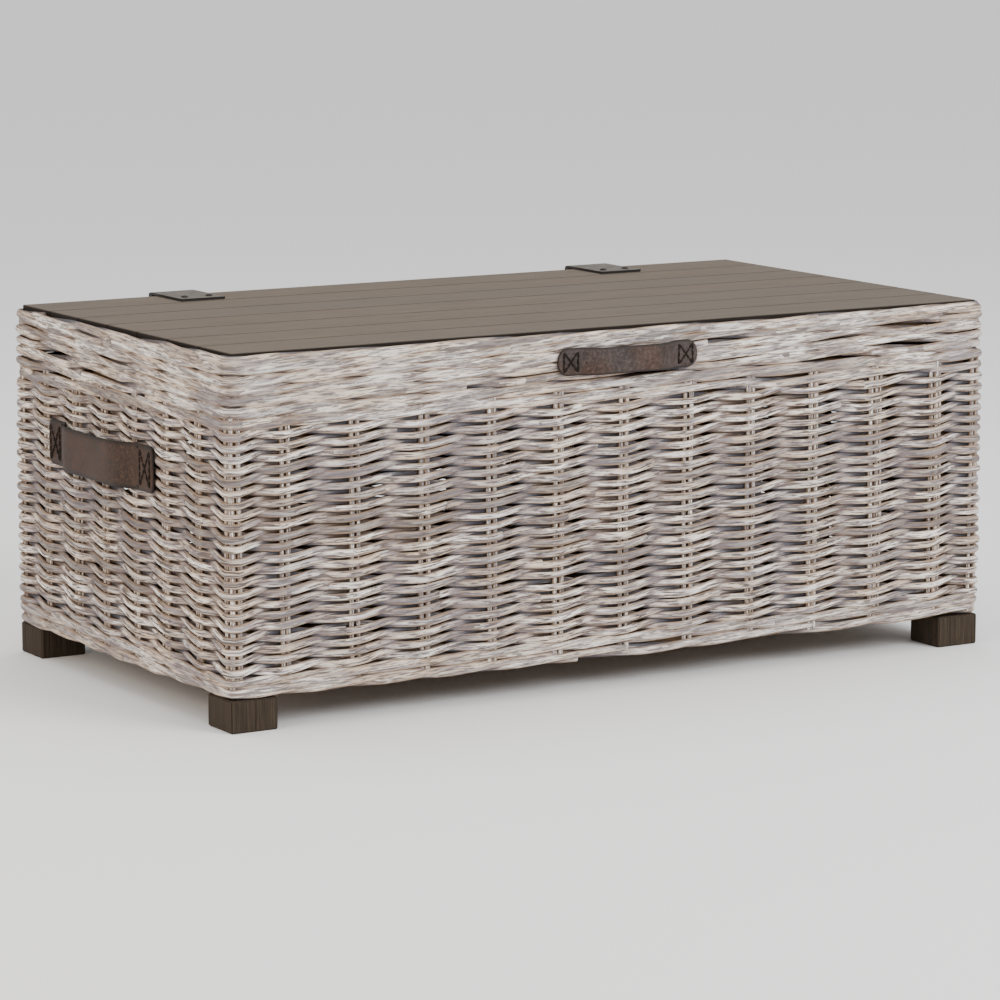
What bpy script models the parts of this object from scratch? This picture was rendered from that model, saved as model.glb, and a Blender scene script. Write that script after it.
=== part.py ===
"""Wicker trunk coffee table: a woven box on four wooden feet, with a slatted, hinged lid."""
import math

import bmesh
import bpy
from mathutils import Matrix, Vector

# Driving dimensions, in metres. X runs along the front, the front faces -Y, Z is up.
LENGTH = 1.10
DEPTH = 0.60
HEIGHT = 0.45
GAP = 0.0003

WICKER_THICKNESS = 0.020
WICKER_BOTTOM = 0.040
PARTING_HEIGHT = 0.388
PARTING_GAP = 0.0006

FOOT_SIDE = 0.062
FOOT_INSET = 0.005
FOOT_CHAMFER = 0.002
POST_SIDE = 0.038
RAIL_THICKNESS = 0.024
BASE_RAIL_HEIGHT = 0.035
TOP_RAIL_HEIGHT = 0.045
PANEL_THICKNESS = 0.012

BOARD_INSET = 0.012
BOARD_THICKNESS = 0.015
PLANK_COUNT = 7
PLANK_GROOVE = 0.002
PLANK_CHAMFER = 0.0008
LID_RAIL_HEIGHT = 0.030
BATTEN_WIDTH = 0.045

HINGE_X = 0.318
HINGE_WIDTH = 0.062
HINGE_PLATE = 0.003
LID_LEAF_LENGTH = 0.092
BODY_LEAF_DROP = 0.113
KNUCKLE_RADIUS = 0.005
PIN_RADIUS = 0.002
PIN_CLEARANCE = 0.00005
HINGE_BACK = 0.0058
HINGE_DROP = 0.002
HINGE_NOTCH_REACH = 0.02
LEAF_END_SHARE = 0.3
BORE_OVERRUN = 0.006
SCREW_RADIUS = 0.0018
SCREW_TIP_SHARE = 0.6
SCREW_DOME_STEPS = 4
SCREW_SIDES = 16
SCREW_HEAD_RADIUS = 0.0048
SCREW_HEAD_HEIGHT = 0.0022
SCREW_SPREAD = 0.0175
LID_SCREW_FROM_FRONT = 0.019
LID_SCREW_LENGTH = 0.014
BODY_SCREW_FROM_BOTTOM = 0.022
BODY_SCREW_LENGTH = 0.036

STRAP_THICKNESS = 0.004
PLATE_THICKNESS = 0.002
PLATE_SHARE = 0.9
FRONT_HANDLE = {"length": 0.202, "width": 0.034, "pad": 0.032, "bow": 0.013}
FRONT_HANDLE_HEIGHT = 0.4115
SIDE_HANDLE = {"length": 0.292, "width": 0.057, "pad": 0.044, "bow": 0.018}
SIDE_HANDLE_HEIGHT = 0.2900
SIDE_HANDLE_Y = 0.036
STRAP_STEPS = 16
BOW_SHAPE = 4

# The origin is the bottom centre of the whole box, which the front handle and the hinges widen.
FRONT_REACH = DEPTH / 2 + GAP + FRONT_HANDLE["bow"] + STRAP_THICKNESS
BACK_REACH = DEPTH / 2 + HINGE_BACK + KNUCKLE_RADIUS
SHIFT_Y = (FRONT_REACH - BACK_REACH) / 2

HALF_X = LENGTH / 2
HALF_Y = DEPTH / 2
INNER_X = HALF_X - WICKER_THICKNESS - GAP
INNER_Y = HALF_Y - WICKER_THICKNESS - GAP
BODY_TOP = PARTING_HEIGHT - PARTING_GAP / 2
RIM_BOTTOM = PARTING_HEIGHT + PARTING_GAP / 2
BOARD_BOTTOM = HEIGHT - BOARD_THICKNESS
HINGE_AXIS_Y = HALF_Y + HINGE_BACK
HINGE_AXIS_Z = HEIGHT - HINGE_DROP

for old in list(bpy.data.objects):
    bpy.data.objects.remove(old)

TABLE = bpy.data.collections.new("wicker_coffee_table")
CUTTERS = bpy.data.collections.new("cutters")
bpy.context.scene.collection.children.link(TABLE)
bpy.context.scene.collection.children.link(CUTTERS)


def make_material(name, colour, roughness, metallic=0.0):
    """A Principled material in one colour."""
    material = bpy.data.materials.new(name)
    material.use_nodes = True
    shader = material.node_tree.nodes["Principled BSDF"]
    shader.inputs["Base Color"].default_value = (*colour, 1.0)
    shader.inputs["Roughness"].default_value = roughness
    shader.inputs["Metallic"].default_value = metallic
    material.diffuse_color = (*colour, 1.0)
    return material


BOARD = make_material("board_taupe", (0.23, 0.20, 0.17), 0.55)
DARK_WOOD = make_material("dark_wood", (0.075, 0.055, 0.042), 0.70)
FRAME_WOOD = make_material("frame_wood", (0.26, 0.19, 0.12), 0.75)
WICKER = make_material("washed_wicker", (0.46, 0.41, 0.37), 0.80)
LEATHER = make_material("worn_leather", (0.10, 0.07, 0.05), 0.60)
IRON = make_material("hinge_iron", (0.12, 0.11, 0.10), 0.45, 0.6)
SCREW_STEEL = make_material("dark_screw", (0.05, 0.05, 0.05), 0.40, 0.8)


def add_object(name, mesh, material, collection=TABLE):
    """Link one sub-part into a collection, in its own material."""
    piece = bpy.data.objects.new(name, mesh)
    mesh.materials.clear()
    if material:
        mesh.materials.append(material)
    collection.objects.link(piece)
    piece.location.y = SHIFT_Y
    return piece


def add_bevel(piece, width, segments=1):
    """Break a piece's sharp edges."""
    bevel = piece.modifiers.new("edge", "BEVEL")
    bevel.width = width
    bevel.segments = segments
    bevel.limit_method = "ANGLE"


def box_mesh(name, low, high):
    """A box between two corners."""
    size = Vector(high) - Vector(low)
    centre = (Vector(high) + Vector(low)) / 2
    shape = bmesh.new()
    place = Matrix.Translation(centre) @ Matrix.Diagonal((*size, 1.0))
    bmesh.ops.create_cube(shape, size=1.0, matrix=place)
    mesh = bpy.data.meshes.new(name)
    shape.to_mesh(mesh)
    shape.free()
    return mesh


def add_box(name, low, high, material, chamfer=0.0):
    """A plain block sub-part."""
    piece = add_object(name, box_mesh(name, low, high), material)
    if chamfer:
        add_bevel(piece, chamfer)
    return piece


def turned_mesh(name, radius, length, centre, axis, segments=24):
    """A cylinder about one axis."""
    turn = Vector((0, 0, 1)).rotation_difference(Vector(axis)).to_matrix().to_4x4()
    shape = bmesh.new()
    bmesh.ops.create_cone(shape, cap_ends=True, segments=segments, radius1=radius, radius2=radius,
                          depth=length, matrix=Matrix.Translation(centre) @ turn)
    mesh = bpy.data.meshes.new(name)
    shape.to_mesh(mesh)
    shape.free()
    return mesh


def add_cutter(name, mesh):
    """A solid that only cuts or joins other pieces."""
    cutter = add_object(name, mesh, None, CUTTERS)
    cutter.hide_render = True
    cutter.display_type = "WIRE"
    return cutter


def combine(piece, other, operation):
    """Cut a piece with another solid, or join that solid to it."""
    boolean = piece.modifiers.new(operation.lower(), "BOOLEAN")
    boolean.operation = operation
    boolean.solver = "EXACT"
    boolean.object = other


def corner_signs():
    """The four corners, named, with their sides of X and Y."""
    return (("front_left", -1, -1), ("front_right", 1, -1), ("back_left", -1, 1), ("back_right", 1, 1))


def add_feet_and_posts():
    """Four square feet under four corner posts."""
    foot_x = HALF_X - FOOT_INSET
    foot_y = HALF_Y - FOOT_INSET
    for corner, side_x, side_y in corner_signs():
        foot_near = (side_x * (foot_x - FOOT_SIDE), side_y * (foot_y - FOOT_SIDE))
        foot_far = (side_x * foot_x, side_y * foot_y)
        low = (min(foot_near[0], foot_far[0]), min(foot_near[1], foot_far[1]), 0.0)
        high = (max(foot_near[0], foot_far[0]), max(foot_near[1], foot_far[1]), WICKER_BOTTOM - GAP)
        add_box("foot_" + corner, low, high, DARK_WOOD, FOOT_CHAMFER)
        near = (side_x * (INNER_X - POST_SIDE), side_y * (INNER_Y - POST_SIDE))
        far = (side_x * INNER_X, side_y * INNER_Y)
        low = (min(near[0], far[0]), min(near[1], far[1]), WICKER_BOTTOM)
        high = (max(near[0], far[0]), max(near[1], far[1]), BODY_TOP)
        add_box("post_" + corner, low, high, FRAME_WOOD)


def add_rails(prefix, bottom, top, stop_x, stop_y):
    """Two long and two short rails just inside the wicker. The stops are where their ends lie."""
    for side, sign in (("front", -1), ("back", 1)):
        faces = sorted((sign * INNER_Y, sign * (INNER_Y - RAIL_THICKNESS)))
        add_box(prefix + "_rail_" + side, (-stop_x, faces[0], bottom), (stop_x, faces[1], top), FRAME_WOOD)
    for side, sign in (("left", -1), ("right", 1)):
        faces = sorted((sign * INNER_X, sign * (INNER_X - RAIL_THICKNESS)))
        add_box(prefix + "_rail_" + side, (faces[0], -stop_y, bottom), (faces[1], stop_y, top), FRAME_WOOD)


def add_base_panel(bottom):
    """The floor of the box: one sheet, notched round the posts."""
    outer_x = INNER_X - GAP
    outer_y = INNER_Y - GAP
    notch_x = INNER_X - POST_SIDE - GAP
    notch_y = INNER_Y - POST_SIDE - GAP
    quarter = ((notch_x, outer_y), (notch_x, notch_y), (outer_x, notch_y))
    outline = [(x, y) for x, y in quarter]
    outline += [(x, -y) for x, y in reversed(quarter)]
    outline += [(-x, -y) for x, y in quarter]
    outline += [(-x, y) for x, y in reversed(quarter)]
    curve = bpy.data.curves.new("base_panel", "CURVE")
    curve.dimensions = "2D"
    curve.fill_mode = "BOTH"
    curve.extrude = PANEL_THICKNESS / 2
    spline = curve.splines.new("POLY")
    spline.points.add(len(outline) - 1)
    for point, (x, y) in zip(spline.points, outline):
        point.co = (x, y, 0.0, 1.0)
    spline.use_cyclic_u = True
    curve.materials.append(FRAME_WOOD)
    panel = bpy.data.objects.new("base_panel", curve)
    TABLE.objects.link(panel)
    panel.location = (0.0, SHIFT_Y, bottom + PANEL_THICKNESS / 2)


def add_wicker_ring(prefix, bottom, top):
    """Four woven slabs: the long ones run the full length, and the short ones stand between them."""
    walls = {}
    for side, sign in (("front", -1), ("back", 1)):
        faces = sorted((sign * HALF_Y, sign * (HALF_Y - WICKER_THICKNESS)))
        walls[side] = add_box(prefix + side, (-HALF_X, faces[0], bottom), (HALF_X, faces[1], top), WICKER)
    stop_y = HALF_Y - WICKER_THICKNESS - GAP
    for side, sign in (("left", -1), ("right", 1)):
        faces = sorted((sign * HALF_X, sign * (HALF_X - WICKER_THICKNESS)))
        walls[side] = add_box(prefix + side, (faces[0], -stop_y, bottom), (faces[1], stop_y, top), WICKER)
    return walls


def add_planks():
    """The slatted lid board, front plank first."""
    board_x = HALF_X - BOARD_INSET
    board_y = HALF_Y - BOARD_INSET
    pitch = (2 * board_y + PLANK_GROOVE) / PLANK_COUNT
    planks = []
    for number in range(PLANK_COUNT):
        front = -board_y + number * pitch
        low = (-board_x, front, BOARD_BOTTOM)
        high = (board_x, front + pitch - PLANK_GROOVE, HEIGHT)
        planks.append(add_box(f"lid_plank_{number + 1}", low, high, BOARD, PLANK_CHAMFER))
    return planks


def add_lid_batten():
    """A batten across the planks at mid length, between the lid's long rails."""
    top = BOARD_BOTTOM - GAP
    stop_y = INNER_Y - RAIL_THICKNESS - GAP
    low = (-BATTEN_WIDTH / 2, -stop_y, top - LID_RAIL_HEIGHT / 2)
    add_box("lid_batten", low, (BATTEN_WIDTH / 2, stop_y, top), FRAME_WOOD)


def add_screw(name, point, axis, length):
    """A dome-head screw, its head's underside at point and its shank the other way from axis."""
    profile = [(0.0, -length), (SCREW_RADIUS * SCREW_TIP_SHARE, -length)]
    profile += [(SCREW_RADIUS, -length + 2 * SCREW_RADIUS), (SCREW_RADIUS, 0.0), (SCREW_HEAD_RADIUS, 0.0)]
    for step in range(1, SCREW_DOME_STEPS):
        angle = step / SCREW_DOME_STEPS * math.pi / 2
        profile.append((SCREW_HEAD_RADIUS * math.cos(angle), SCREW_HEAD_HEIGHT * math.sin(angle)))
    profile.append((0.0, SCREW_HEAD_HEIGHT))
    mesh = bpy.data.meshes.new(name)
    shape = bmesh.new()
    points = [shape.verts.new((radius, 0.0, height)) for radius, height in reversed(profile)]
    for start, end in zip(points, points[1:]):
        shape.edges.new((start, end))
    shape.to_mesh(mesh)
    shape.free()
    screw = add_object(name, mesh, SCREW_STEEL)
    screw.location = Vector(point) + Vector((0.0, SHIFT_Y, 0.0))
    screw.rotation_mode = "QUATERNION"
    screw.rotation_quaternion = Vector((0, 0, 1)).rotation_difference(Vector(axis))
    turn = screw.modifiers.new("turn", "SCREW")
    turn.steps = SCREW_SIDES
    turn.render_steps = SCREW_SIDES
    turn.use_merge_vertices = True
    turn.merge_threshold = 0.00005
    turn.use_smooth_shade = True


def drill(piece, name, point, axis, length):
    """A clearance hole for a screw or pin."""
    start = Vector(point) + Vector(axis) * SCREW_HEAD_HEIGHT
    middle = start - Vector(axis) * (length + SCREW_HEAD_HEIGHT) / 2
    depth = length + SCREW_HEAD_HEIGHT
    bore = turned_mesh(name, SCREW_RADIUS + GAP, depth, middle, axis, SCREW_SIDES)
    combine(piece, add_cutter(name, bore), "DIFFERENCE")


def knuckle_mesh(name, centre_x, length):
    """A solid knuckle on the hinge line."""
    return turned_mesh(name, KNUCKLE_RADIUS, length, (centre_x, HINGE_AXIS_Y, HINGE_AXIS_Z), (1, 0, 0))


def add_hinge(side, centre_x, last_plank, back_wall, back_rail):
    """One hinge: a leaf on the lid, a leaf down the back, a pin and four screws."""
    third = HINGE_WIDTH / 3
    low_x = centre_x - HINGE_WIDTH / 2
    high_x = centre_x + HINGE_WIDTH / 2
    prefix = "hinge_" + side
    leaf_bottom = HEIGHT + GAP
    leaf_front = HINGE_AXIS_Y - LID_LEAF_LENGTH
    leaf_end = (high_x, HINGE_AXIS_Y - KNUCKLE_RADIUS * LEAF_END_SHARE, leaf_bottom + HINGE_PLATE)
    lid_leaf = add_box(prefix + "_lid_leaf", (low_x, leaf_front, leaf_bottom), leaf_end, IRON)
    for number, offset in enumerate((-third, third)):
        name = f"{prefix}_lid_knuckle_{number}"
        combine(lid_leaf, add_cutter(name, knuckle_mesh(name, centre_x + offset, third - GAP)), "UNION")
    notch_front = HINGE_AXIS_Y - KNUCKLE_RADIUS - GAP
    notch_low = (centre_x - third / 2 - GAP, notch_front, HEIGHT - HINGE_NOTCH_REACH)
    notch_high = (centre_x + third / 2 + GAP, HINGE_AXIS_Y + KNUCKLE_RADIUS, HEIGHT + HINGE_NOTCH_REACH)
    notch = box_mesh(prefix + "_notch", notch_low, notch_high)
    combine(lid_leaf, add_cutter(prefix + "_notch", notch), "DIFFERENCE")

    leaf_inner = HINGE_AXIS_Y - KNUCKLE_RADIUS
    leaf_top = HINGE_AXIS_Z - KNUCKLE_RADIUS - GAP
    body_leaf = add_box(prefix + "_body_leaf", (low_x, leaf_inner, leaf_top - BODY_LEAF_DROP),
                        (high_x, leaf_inner + HINGE_PLATE, leaf_top), IRON)
    tongue_low = (centre_x - third / 2 + GAP, leaf_inner, leaf_top - KNUCKLE_RADIUS)
    tongue_high = (centre_x + third / 2 - GAP, leaf_inner + HINGE_PLATE, HINGE_AXIS_Z)
    tongue = box_mesh(prefix + "_tongue", tongue_low, tongue_high)
    combine(body_leaf, add_cutter(prefix + "_tongue", tongue), "UNION")
    name = prefix + "_body_knuckle"
    combine(body_leaf, add_cutter(name, knuckle_mesh(name, centre_x, third - 2 * GAP)), "UNION")

    axis_point = (centre_x, HINGE_AXIS_Y, HINGE_AXIS_Z)
    bore_length = HINGE_WIDTH + 2 * BORE_OVERRUN
    bore = turned_mesh(prefix + "_bore", PIN_RADIUS + PIN_CLEARANCE, bore_length, axis_point, (1, 0, 0))
    bore_cutter = add_cutter(prefix + "_bore", bore)
    combine(lid_leaf, bore_cutter, "DIFFERENCE")
    combine(body_leaf, bore_cutter, "DIFFERENCE")
    pin = turned_mesh(prefix + "_pin", PIN_RADIUS, HINGE_WIDTH, axis_point, (1, 0, 0))
    add_object(prefix + "_pin", pin, SCREW_STEEL)

    leaf_face = leaf_bottom + HINGE_PLATE + GAP
    body_face = leaf_inner + HINGE_PLATE + GAP
    body_screw_z = leaf_top - BODY_LEAF_DROP + BODY_SCREW_FROM_BOTTOM
    for end, offset in (("a", -SCREW_SPREAD), ("b", SCREW_SPREAD)):
        point = (centre_x + offset, leaf_front + LID_SCREW_FROM_FRONT, leaf_face)
        add_screw(f"{prefix}_lid_screw_{end}", point, (0, 0, 1), LID_SCREW_LENGTH)
        for piece in (lid_leaf, last_plank):
            drill(piece, f"{piece.name}_{side}_hole_{end}", point, (0, 0, 1), LID_SCREW_LENGTH + GAP)
        point = (centre_x + offset, body_face, body_screw_z)
        add_screw(f"{prefix}_body_screw_{end}", point, (0, 1, 0), BODY_SCREW_LENGTH)
        for piece in (body_leaf, back_wall, back_rail):
            drill(piece, f"{piece.name}_{side}_hole_{end}", point, (0, 1, 0), BODY_SCREW_LENGTH + GAP)


def strap_profile(handle):
    """Stations along half a strap: distance from the middle, and how far it stands off the wicker.

    A larger BOW_SHAPE gives a flatter grip that drops more steeply to its pads.
    """
    flat_from = handle["length"] / 2 - handle["pad"]
    stations = []
    for step in range(STRAP_STEPS + 1):
        share = step / STRAP_STEPS
        lift = handle["bow"] * (0.5 + 0.5 * math.cos(math.pi * share ** BOW_SHAPE))
        stations.append((share * flat_from, lift))
    stations.append((handle["length"] / 2, 0.0))
    return stations


def add_handle(name, handle, centre, outward, along):
    """A leather strap: two pads flat on the wicker and a bowed grip between them."""
    half = strap_profile(handle)
    stations = [(-distance, lift) for distance, lift in reversed(half[1:])] + half
    shape = bmesh.new()
    rows = []
    for edge in (-handle["width"] / 2, handle["width"] / 2):
        inner = []
        for distance, lift in stations:
            spot = Vector(centre) + Vector(along) * distance + Vector(outward) * (lift + GAP)
            inner.append(shape.verts.new(spot + Vector((0, 0, edge))))
        rows.append(inner)
    for number in range(len(stations) - 1):
        shape.faces.new((rows[0][number], rows[0][number + 1], rows[1][number + 1], rows[1][number]))
    bmesh.ops.recalc_face_normals(shape, faces=shape.faces)
    facing = sum((face.normal for face in shape.faces), Vector()).dot(Vector(outward))
    if facing < 0:
        bmesh.ops.reverse_faces(shape, faces=shape.faces)
    mesh = bpy.data.meshes.new(name)
    shape.to_mesh(mesh)
    shape.free()
    strap = add_object(name, mesh, LEATHER)
    solid = strap.modifiers.new("thickness", "SOLIDIFY")
    solid.thickness = STRAP_THICKNESS
    solid.offset = 1.0
    return strap


def add_backing_plates(prefix, handle, centre, outward, along, depth):
    """Two steel plates behind the woven wall, which the strap's stitches are clenched to."""
    reach = (handle["length"] - handle["pad"]) / 2
    half = (Vector(along) * handle["pad"] + Vector((0, 0, handle["width"]))) * PLATE_SHARE / 2
    for end, sign in (("a", -1), ("b", 1)):
        face = Vector(centre) + Vector(along) * sign * reach - Vector(outward) * (depth + GAP)
        corners = (face - half, face + half - Vector(outward) * PLATE_THICKNESS)
        low = [min(corners[0][k], corners[1][k]) for k in range(3)]
        high = [max(corners[0][k], corners[1][k]) for k in range(3)]
        add_box(f"{prefix}_plate_{end}", low, high, IRON)


def build():
    """Body first, then lid, hinges and handles."""
    add_feet_and_posts()
    stop_x = INNER_X - POST_SIDE - GAP
    stop_y = INNER_Y - POST_SIDE - GAP
    base_top = WICKER_BOTTOM + BASE_RAIL_HEIGHT
    add_rails("base", WICKER_BOTTOM, base_top, stop_x, stop_y)
    add_rails("top", BODY_TOP - TOP_RAIL_HEIGHT, BODY_TOP, stop_x, stop_y)
    add_base_panel(base_top + GAP)
    walls = add_wicker_ring("wicker_wall_", WICKER_BOTTOM, BODY_TOP)

    planks = add_planks()
    lid_bottom = BOARD_BOTTOM - GAP - LID_RAIL_HEIGHT
    add_rails("lid", lid_bottom, BOARD_BOTTOM - GAP, INNER_X - RAIL_THICKNESS - GAP, INNER_Y)
    add_lid_batten()
    add_wicker_ring("wicker_rim_", RIM_BOTTOM, BOARD_BOTTOM - GAP)

    back_rail = bpy.data.objects["top_rail_back"]
    add_hinge("left", -HINGE_X, planks[-1], walls["back"], back_rail)
    add_hinge("right", HINGE_X, planks[-1], walls["back"], back_rail)

    add_handle("handle_front", FRONT_HANDLE, (0.0, -HALF_Y, FRONT_HANDLE_HEIGHT), (0, -1, 0), (1, 0, 0))
    for side, sign in (("left", -1), ("right", 1)):
        centre = (sign * HALF_X, SIDE_HANDLE_Y, SIDE_HANDLE_HEIGHT)
        add_handle("handle_" + side, SIDE_HANDLE, centre, (sign, 0, 0), (0, 1, 0))
        add_backing_plates("handle_" + side, SIDE_HANDLE, centre, (sign, 0, 0), (0, 1, 0), WICKER_THICKNESS)


build()
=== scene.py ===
"""Looks for the wicker trunk coffee table: twined rattan, boards, leather straps, feet and hinges."""

import math

import bmesh
import bpy
import numpy as np
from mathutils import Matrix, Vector


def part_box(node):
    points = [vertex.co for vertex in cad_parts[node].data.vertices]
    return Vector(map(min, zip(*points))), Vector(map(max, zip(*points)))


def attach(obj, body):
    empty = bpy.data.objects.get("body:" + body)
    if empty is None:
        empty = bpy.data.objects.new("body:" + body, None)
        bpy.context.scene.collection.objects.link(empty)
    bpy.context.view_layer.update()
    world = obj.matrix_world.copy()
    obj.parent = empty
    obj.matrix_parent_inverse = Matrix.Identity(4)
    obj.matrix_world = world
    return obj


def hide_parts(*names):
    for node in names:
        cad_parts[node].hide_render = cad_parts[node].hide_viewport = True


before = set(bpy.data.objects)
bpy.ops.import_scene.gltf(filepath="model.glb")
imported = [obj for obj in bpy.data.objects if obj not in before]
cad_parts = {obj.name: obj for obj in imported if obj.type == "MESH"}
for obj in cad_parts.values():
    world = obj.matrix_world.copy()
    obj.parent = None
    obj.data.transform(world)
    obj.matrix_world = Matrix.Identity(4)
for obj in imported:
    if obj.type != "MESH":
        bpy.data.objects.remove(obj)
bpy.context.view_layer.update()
rng = np.random.default_rng(40)

# ---------------------------------------------------------------- places, read from the frame
WALL_LOW, WALL_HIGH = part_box("wicker_wall_front")
BACK_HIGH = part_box("wicker_wall_back")[1]
RIM_BELOW_BOARD = 0.0028

HALF_X = WALL_HIGH[0]
HALF_Y = (BACK_HIGH[1] - WALL_LOW[1]) / 2
MIDDLE_Y = (BACK_HIGH[1] + WALL_LOW[1]) / 2
BOARD_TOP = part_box("lid_plank_1")[1][2]
WEAVE_BOTTOM = WALL_LOW[2]
BODY_TOP = WALL_HIGH[2]
RIM_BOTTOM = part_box("wicker_rim_front")[0][2]
RIM_TOP = BOARD_TOP - RIM_BELOW_BOARD
UP = np.array([0.0, 0.0, 1.0])

# ---------------------------------------------------------------- stakes
STAKE_RADIUS = 0.0036
STAKE_SPREAD = 0.0041
STAKE_MARGIN = 0.004
STAKE_RINGS = 60
STAKE_SIDES = 8
STAKE_SWAY = 0.0007
THIRD_STAKE_CHANCE = 0.25
THIRD_STAKE_PLACE = 2.7
THIRD_STAKE_SIZE = 0.72
LONG_PITCH = 0.0942
LONG_STAKES = 11
SHORT_PITCH = 0.0842
SHORT_STAKES = 6

# ---------------------------------------------------------------- rods
ROD_RADIUS = 0.0049
THICK_ROD_RADIUS = 0.0051
ROD_FLAT = 0.78
ROD_SWING = 0.0052
THICK_SWING = 0.0038
ROD_LEAN = 0.0030
ROD_RISE = 0.0026
WALE_RISE = 0.0032
ROD_LENGTHS = (0.32, 0.95)
LAST_ROD_ROOM = 0.7
LEAD_LENGTH = 0.030
LEAD_TUCK = 0.0028
LEAD_DROP = 0.0015
TIP_LENGTH = 0.018
TIP_OUT = 0.0012
TIP_UP = 0.0008
NODE_SPACING = 0.27
NODE_WIDTH = 0.004
NODE_SWELL = 0.10
RING_STEP = 0.0065
RING_SIDES = 10
GRAIN_PER_METRE = 9.0
BODY_ROWS = 22
BORDER_ROWS = 2
BORDER_PITCH = 0.0137
BORDER_OVERLAP = 0.001
BORDER_DROP = 0.0004
RIM_ROWS = 5
RIM_SEED = 60
TOP_ROW_DROP = 0.0072
TOP_ROW_RISE = 0.0022

# ---------------------------------------------------------------- the rods' path round the box
STAKE_PLANE = ROD_SWING + ROD_RADIUS * ROD_FLAT
PATH_X = HALF_X - STAKE_PLANE
PATH_Y = HALF_Y - STAKE_PLANE
CORNER_RADIUS = 0.005
LONG_RUN = 2 * (PATH_X - CORNER_RADIUS)
SHORT_RUN = 2 * (PATH_Y - CORNER_RADIUS)
ARC_RUN = math.pi / 2 * CORNER_RADIUS
PERIMETER = 2 * (LONG_RUN + SHORT_RUN + 2 * ARC_RUN)

# ---------------------------------------------------------------- straps
STRAP_THICKNESS = 0.0036
STRAP_STANDOFF = 0.004
STRAP_BACK = 0.0002
STRAP_WAIST = 0.05
STRAP_CELLS_LONG = 120
STRAP_CELLS_WIDE = 18
CROWN_EDGE = 0.004
BORDER_EDGE = 0.006
STITCH_LENGTH = 0.0085
STITCH_RADIUS = 0.0013
STITCH_RINGS = 6
NAIL_RADIUS = 0.0024
NAIL_INSET = 0.0045
NAIL_HEIGHT = 0.0016


def path_runs():
    """The path round the box as straights and arcs, from the front left corner, front side first."""
    cx = PATH_X - CORNER_RADIUS
    cy = PATH_Y - CORNER_RADIUS
    return (("line", (-cx, -PATH_Y), (1, 0), LONG_RUN), ("arc", (cx, -cy), -90, ARC_RUN),
            ("line", (PATH_X, -cy), (0, 1), SHORT_RUN), ("arc", (cx, cy), 0, ARC_RUN),
            ("line", (cx, PATH_Y), (-1, 0), LONG_RUN), ("arc", (-cx, cy), 90, ARC_RUN),
            ("line", (-PATH_X, cy), (0, -1), SHORT_RUN), ("arc", (-cx, -cy), 180, ARC_RUN))


def path_frame(distance):
    """Point and outward direction at each distance round the box."""
    distance = np.mod(distance, PERIMETER)
    point = np.zeros((len(distance), 2))
    outward = np.zeros((len(distance), 2))
    start = 0.0
    for kind, spot, heading, run in path_runs():
        inside = (distance >= start) & (distance <= start + run + 1e-9)
        along = distance[inside] - start
        if kind == "line":
            point[inside] = np.array(spot) + along[:, None] * np.array(heading)
            outward[inside] = (heading[1], -heading[0])
        else:
            angle = np.radians(heading) + along / CORNER_RADIUS
            outward[inside] = np.stack([np.cos(angle), np.sin(angle)], axis=1)
            point[inside] = np.array(spot) + CORNER_RADIUS * outward[inside]
        start += run
    point[:, 1] += MIDDLE_Y
    return point, outward


def stake_places():
    """Where the stakes stand along the path, and the weave count there, which runs back on the short sides."""
    places = [0.0]
    counts = [0]
    start = 0.0
    for side in range(4):
        long_side = side % 2 == 0
        if long_side:
            run, number, pitch, step = LONG_RUN, LONG_STAKES, LONG_PITCH, 1
        else:
            run, number, pitch, step = SHORT_RUN, SHORT_STAKES, SHORT_PITCH, -1
        for stake in range(number):
            places.append(start + run / 2 + (stake - (number - 1) / 2) * pitch)
            counts.append(counts[-1] + step)
        places += [start + run, start + run + ARC_RUN]
        counts += [counts[-1] + step] * 2
        start += run + ARC_RUN
    return np.array(places), np.array(counts, float)


STAKE_AT, STAKE_COUNT = stake_places()
LOOP_COUNT = STAKE_COUNT[-1]


def weave_count(distance):
    """How many stakes the weave has passed, as a smooth number."""
    turns = np.floor(distance / PERIMETER)
    return np.interp(distance - turns * PERIMETER, STAKE_AT, STAKE_COUNT) + turns * LOOP_COUNT


def wander(distance, length, seed):
    """Smooth noise of unit size along the path, with a given wavelength, closed round the loop."""
    knots = max(int(PERIMETER / length), 4)
    values = np.random.default_rng(seed).uniform(-1, 1, knots)
    place = np.mod(distance, PERIMETER) / PERIMETER * knots
    low = np.floor(place).astype(int)
    share = place - low
    share = share * share * (3 - 2 * share)
    return values[low % knots] * (1 - share) + values[(low + 1) % knots] * share


def link_object(name, data):
    """Make an object from its data and put it in the scene."""
    made = bpy.data.objects.new(name, data)
    bpy.context.scene.collection.objects.link(made)
    return made


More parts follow.
